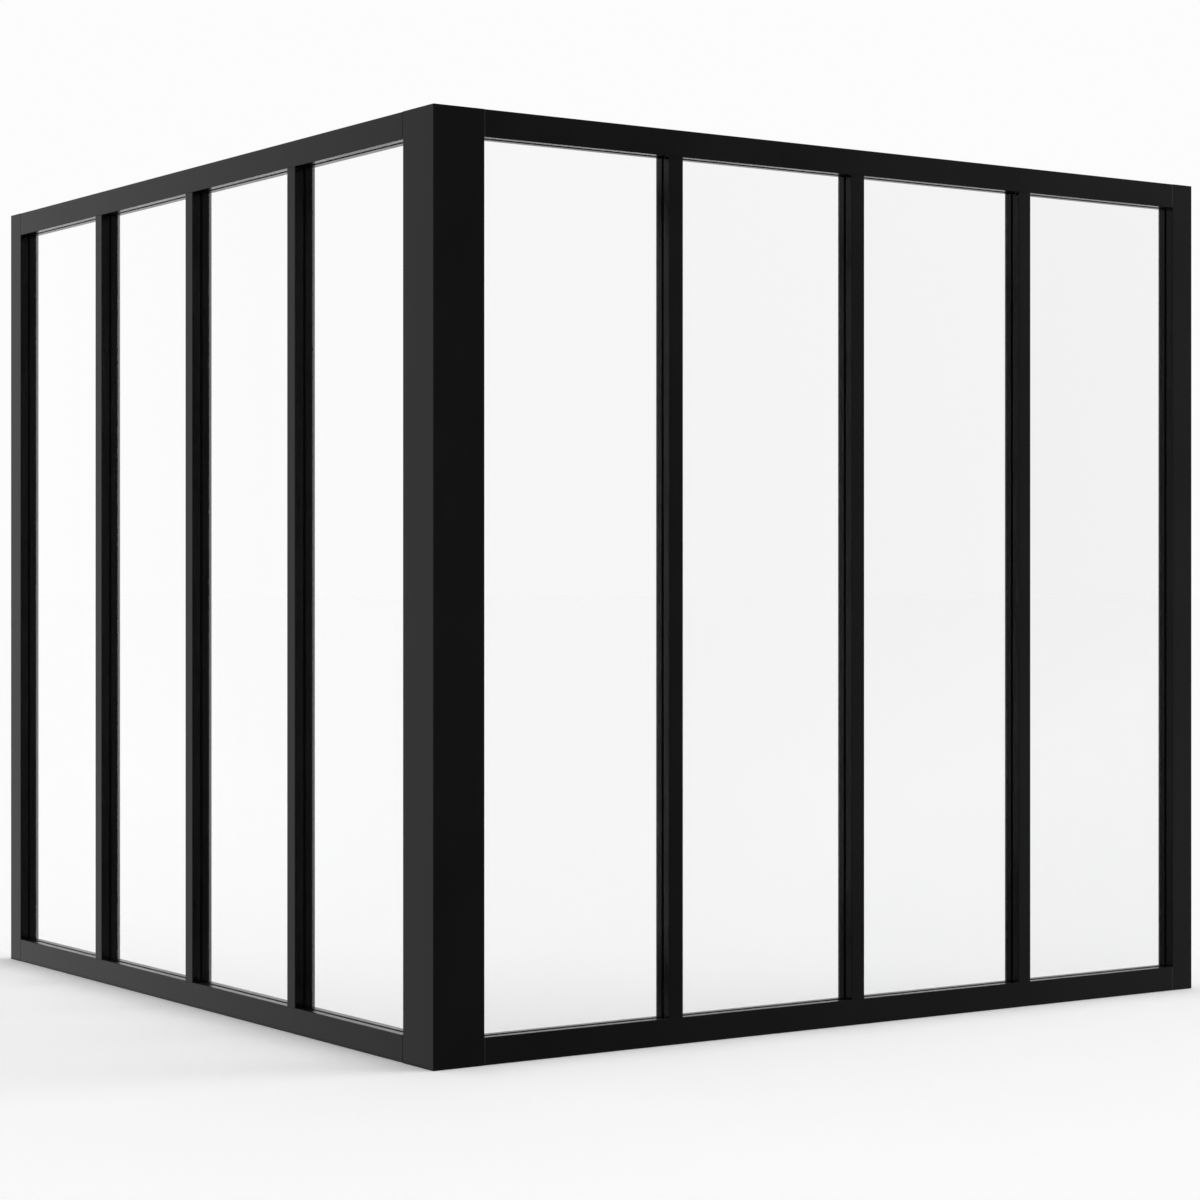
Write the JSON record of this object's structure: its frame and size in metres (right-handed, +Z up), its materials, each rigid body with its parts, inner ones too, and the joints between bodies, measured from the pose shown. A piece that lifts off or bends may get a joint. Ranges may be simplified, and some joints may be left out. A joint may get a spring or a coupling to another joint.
{
  "type": "corner interior window",
  "caption": "Free-standing L-shaped interior window: black metal frames with tall clear panes meet at a corner post.",
  "frame": {"origin": "outer edge of the corner post, where its two outer faces meet the floor", "axes": "+X along the right wall away from the corner, +Y along the left wall away from the corner, +Z up; the outer faces look towards -Y and -X"},
  "size_m": [1.19, 1.19, 1.08],
  "materials": {
    "black_frame": "satin fine-grained powder coat",
    "clear_glass": "clear polished",
    "gasket": "matte",
    "plug": "matte",
    "setting_block": "matte"
  },
  "bodies": {
    "root": {"corner_post": "black_frame", "corner_post_foot_plugs": "plug", "corner_post_top_plugs": "plug", "left_bottom_bead": "black_frame", "left_bottom_rail": "black_frame", "left_gaskets": "gasket", "left_glass_1": "clear_glass", "left_glass_2": "clear_glass", "left_glass_3": "clear_glass", "left_glass_4": "clear_glass", "left_jamb": "black_frame", "left_jamb_bead": "black_frame", "left_jamb_foot_plugs": "plug", "left_jamb_top_plugs": "plug", "left_mullion_1": "black_frame", "left_mullion_2": "black_frame", "left_mullion_3": "black_frame", "left_mullion_cap_1": "black_frame", "left_mullion_cap_2": "black_frame", "left_mullion_cap_3": "black_frame", "left_post_bead": "black_frame", "left_setting_blocks": "setting_block", "left_top_bead": "black_frame", "left_top_rail": "black_frame", "right_bottom_bead": "black_frame", "right_bottom_rail": "black_frame", "right_gaskets": "gasket", "right_glass_1": "clear_glass", "right_glass_2": "clear_glass", "right_glass_3": "clear_glass", "right_glass_4": "clear_glass", "right_jamb": "black_frame", "right_jamb_bead": "black_frame", "right_jamb_foot_plugs": "plug", "right_jamb_top_plugs": "plug", "right_mullion_1": "black_frame", "right_mullion_2": "black_frame", "right_mullion_3": "black_frame", "right_mullion_cap_1": "black_frame", "right_mullion_cap_2": "black_frame", "right_mullion_cap_3": "black_frame", "right_post_bead": "black_frame", "right_setting_blocks": "setting_block", "right_top_bead": "black_frame", "right_top_rail": "black_frame"}
  },
  "joints": []
}
